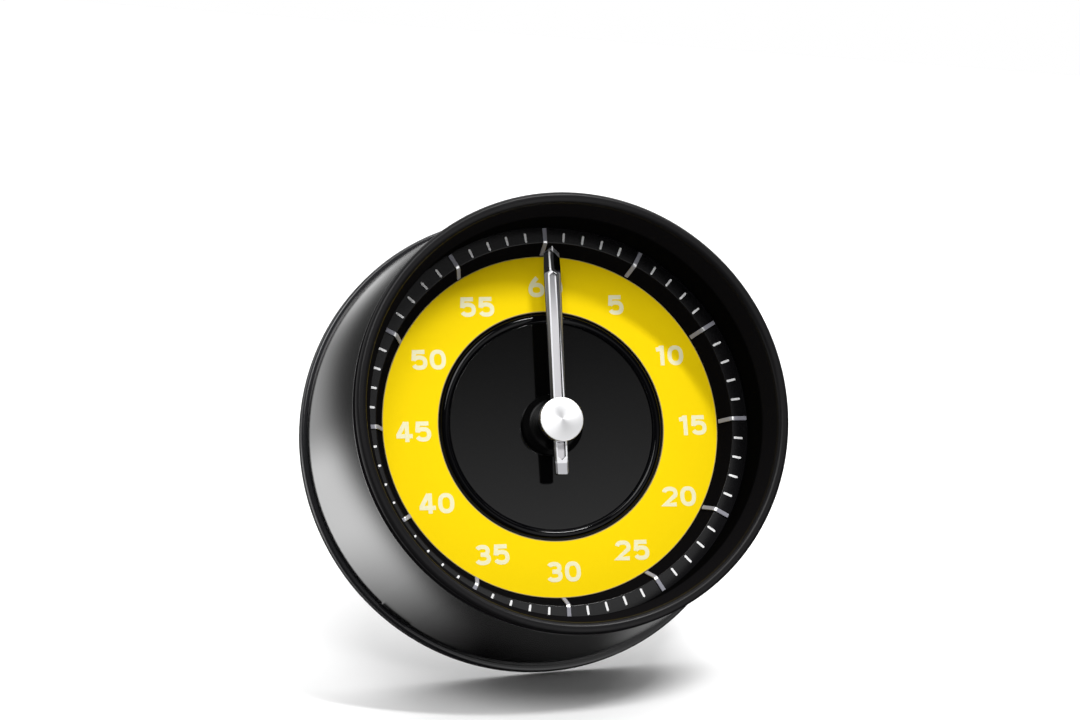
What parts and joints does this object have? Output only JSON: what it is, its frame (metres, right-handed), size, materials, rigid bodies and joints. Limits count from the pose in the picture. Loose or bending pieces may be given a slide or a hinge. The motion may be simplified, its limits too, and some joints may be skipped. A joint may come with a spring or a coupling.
{
  "type": "kitchen timer",
  "caption": "Drum-shaped wind-up kitchen timer with a magnetic back, a deep recess, a yellow minute dial and a single metal hand; the case turns on its base to set the time.",
  "frame": {"origin": "centre of the foot ring's back face, on the axis that the case turns about", "axes": "+Z along the turning axis, out of the dial towards the reader; +Y from the centre to the tip of the hand, where sixty stands at rest; +X towards fifteen"},
  "size_m": [0.072, 0.072, 0.0324],
  "materials": {
    "base_black": "moulded, near-black, glossy rim",
    "foot_rubber": "soft matt rubber",
    "magnet": "sintered, dark grey",
    "acetal": "self-lubricating acetal",
    "machined_steel": "turned and pressed steel",
    "spring_steel": "blued spring strip",
    "bell_steel": "drawn bell steel",
    "movement_brass": "stamped and cut brass",
    "hand_steel": "polished facets, satin groove",
    "cap_aluminium": "spun, fine turning marks",
    "sleeve_black": "satin black coating",
    "bezel_black": "satin black",
    "chapter_black": "semi-gloss black",
    "marker_silver": "satin with polished bend",
    "dial_yellow": "satin yellow print with white numbers",
    "bead_black": "high gloss black",
    "dial_black": "fine satin charcoal",
    "carrier_plastic": "glass-filled nylon",
    "print_white": "creamy white pad print of the numbers and minute strokes"
  },
  "bodies": {
    "base": {"base_cover": "base_black", "foot_ring": "foot_rubber", "magnet_1": "magnet", "magnet_2": "magnet", "magnet_3": "magnet", "glide_ring": "acetal", "thrust_washer": "acetal", "arbor_screw": "machined_steel", "centre_arbor": "machined_steel", "main_wheel": "movement_brass", "mainspring": "spring_steel", "trip_cam": "machined_steel", "hand_blade": "hand_steel", "hub_cap": "cap_aluminium"},
    "case": {"outer_sleeve": "sleeve_black", "front_bezel": "bezel_black", "chapter_ring": "chapter_black", "marker_00": "marker_silver", "marker_05": "marker_silver", "marker_10": "marker_silver", "marker_15": "marker_silver", "marker_20": "marker_silver", "marker_25": "marker_silver", "marker_30": "marker_silver", "marker_35": "marker_silver", "marker_40": "marker_silver", "marker_45": "marker_silver", "marker_50": "marker_silver", "marker_55": "marker_silver", "yellow_dial": "dial_yellow", "bead_ring": "bead_black", "centre_dial": "dial_black", "hand_collar": "bead_black", "dial_carrier": "carrier_plastic", "bezel_screw_1": "machined_steel", "bezel_screw_2": "machined_steel", "bezel_screw_3": "machined_steel", "movement_screw_1": "machined_steel", "movement_screw_2": "machined_steel", "movement_screw_3": "machined_steel", "front_plate": "movement_brass", "back_plate": "movement_brass", "pillar_1": "machined_steel", "pillar_2": "machined_steel", "pillar_3": "machined_steel", "bell": "bell_steel", "bell_rivet_1": "machined_steel", "bell_rivet_2": "machined_steel", "stop_pin": "machined_steel", "spring_post": "machined_steel", "hammer_pin": "machined_steel"},
    "second_wheel": {"second_wheel": "movement_brass"},
    "third_wheel": {"third_wheel": "movement_brass"},
    "escape_wheel": {"escape_wheel": "movement_brass"},
    "pallet": {"pallet_anchor": "machined_steel", "balance_wheel": "movement_brass"},
    "hammer": {"hammer": "machined_steel"}
  },
  "joints": [
    {"name": "case_turn", "type": "hinge", "parent": "base", "child": "case", "pos_m": [0, 0, 0], "axis": [0, 0, 1], "range_deg": [0, 355], "stiffness_Nm_per_rad": 0.004, "springref_deg": -34.38},
    {"name": "second_wheel_turn", "type": "hinge", "parent": "case", "child": "second_wheel", "pos_m": [-0.01316, -0.00479, 0], "axis": [0, 0, 1], "range_deg": [0, 2130]},
    {"name": "third_wheel_turn", "type": "hinge", "parent": "case", "child": "third_wheel", "pos_m": [-0.00795, -0.01342, 0], "axis": [0, 0, 1], "range_deg": [-10650, 0]},
    {"name": "escape_wheel_turn", "type": "hinge", "parent": "case", "child": "escape_wheel", "pos_m": [-0.00035, -0.017, 0], "axis": [0, 0, 1], "range_deg": [0, 42600]},
    {"name": "pallet_rock", "type": "hinge", "parent": "case", "child": "pallet", "pos_m": [0.00641, -0.01628, 0], "axis": [0, 0, 1], "range_deg": [-4, 4]},
    {"name": "hammer_swing", "type": "hinge", "parent": "case", "child": "hammer", "pos_m": [0.0095, 0.01645, 0], "axis": [0, 0, 1], "range_deg": [-2.5, 8], "stiffness_Nm_per_rad": 0.0002}
  ],
  "couplings": [
    {"joint": "second_wheel_turn", "follows": "case_turn", "ratio": 6},
    {"joint": "third_wheel_turn", "follows": "case_turn", "ratio": -30},
    {"joint": "escape_wheel_turn", "follows": "case_turn", "ratio": 120}
  ]
}
